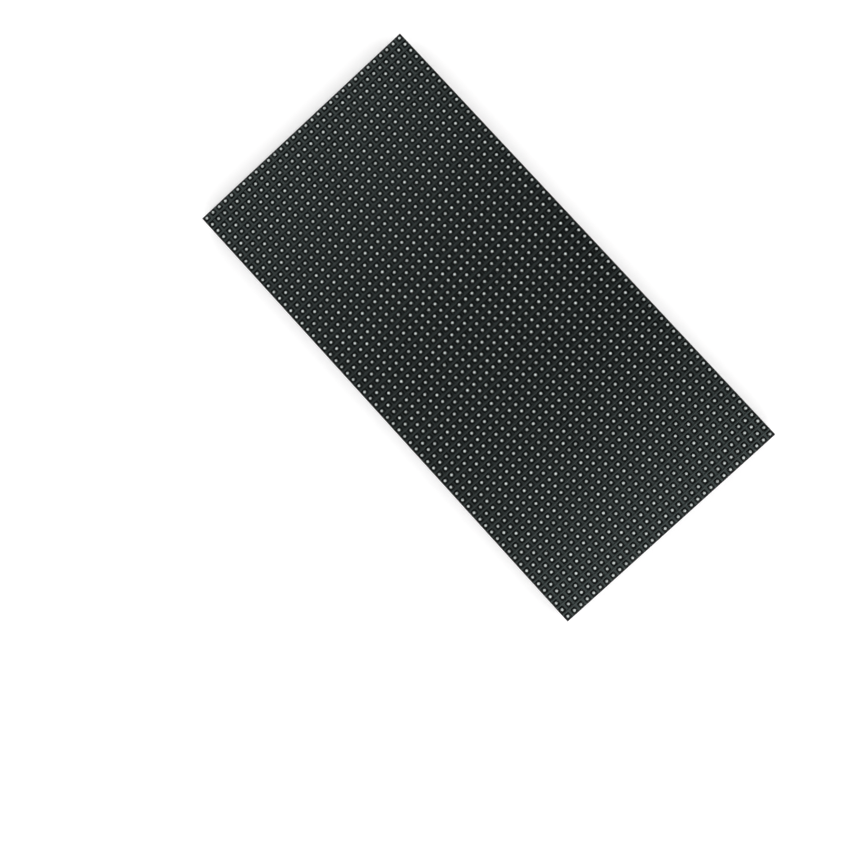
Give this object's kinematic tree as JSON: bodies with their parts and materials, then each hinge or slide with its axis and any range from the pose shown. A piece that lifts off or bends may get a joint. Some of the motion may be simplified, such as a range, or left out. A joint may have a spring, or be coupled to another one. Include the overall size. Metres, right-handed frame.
{
  "type": "led display module",
  "caption": "Flat rectangular LED display module: lamp board behind a black ribbed mask, open-backed moulded housing with threaded inserts, data and power headers.",
  "frame": {"origin": "centre of the plane of the housing's rear rim, which the module lies on", "axes": "+Z out of the display face, +X along the long side, +Y along the short side"},
  "size_m": [0.1918, 0.0958, 0.015],
  "materials": {
    "mask_plastic": "matte, slightly grey black",
    "lamp_resin": "milky resin",
    "board_laminate": "solder mask over laminate, pale cut edge",
    "housing_plastic": "smooth moulded black",
    "brass": "machined",
    "plated_steel": "bright plated",
    "header_plastic": "moulded black",
    "gold_plate": "gold plated",
    "wafer_nylon": "natural nylon",
    "chip_epoxy": "moulded epoxy",
    "can_aluminium": "bare can",
    "capacitor_ceramic": "fired ceramic"
  },
  "bodies": {
    "root": {"front_mask": "mask_plastic", "led_lamps": "lamp_resin", "circuit_board": "board_laminate", "rear_housing": "housing_plastic", "mounting_inserts": "brass", "housing_screws": "plated_steel", "board_nuts": "brass", "data_in_shroud": "header_plastic", "data_in_pins": "gold_plate", "data_out_shroud": "header_plastic", "data_out_pins": "gold_plate", "power_wafer": "wafer_nylon", "power_pins": "plated_steel", "driver_chips": "chip_epoxy", "row_switch_chips": "chip_epoxy", "decoder_chips": "chip_epoxy", "buffer_chips": "chip_epoxy", "capacitor_cans": "can_aluminium", "capacitor_bases": "header_plastic", "bypass_capacitors": "capacitor_ceramic", "setting_resistors": "chip_epoxy", "resistor_arrays": "chip_epoxy"}
  },
  "joints": []
}
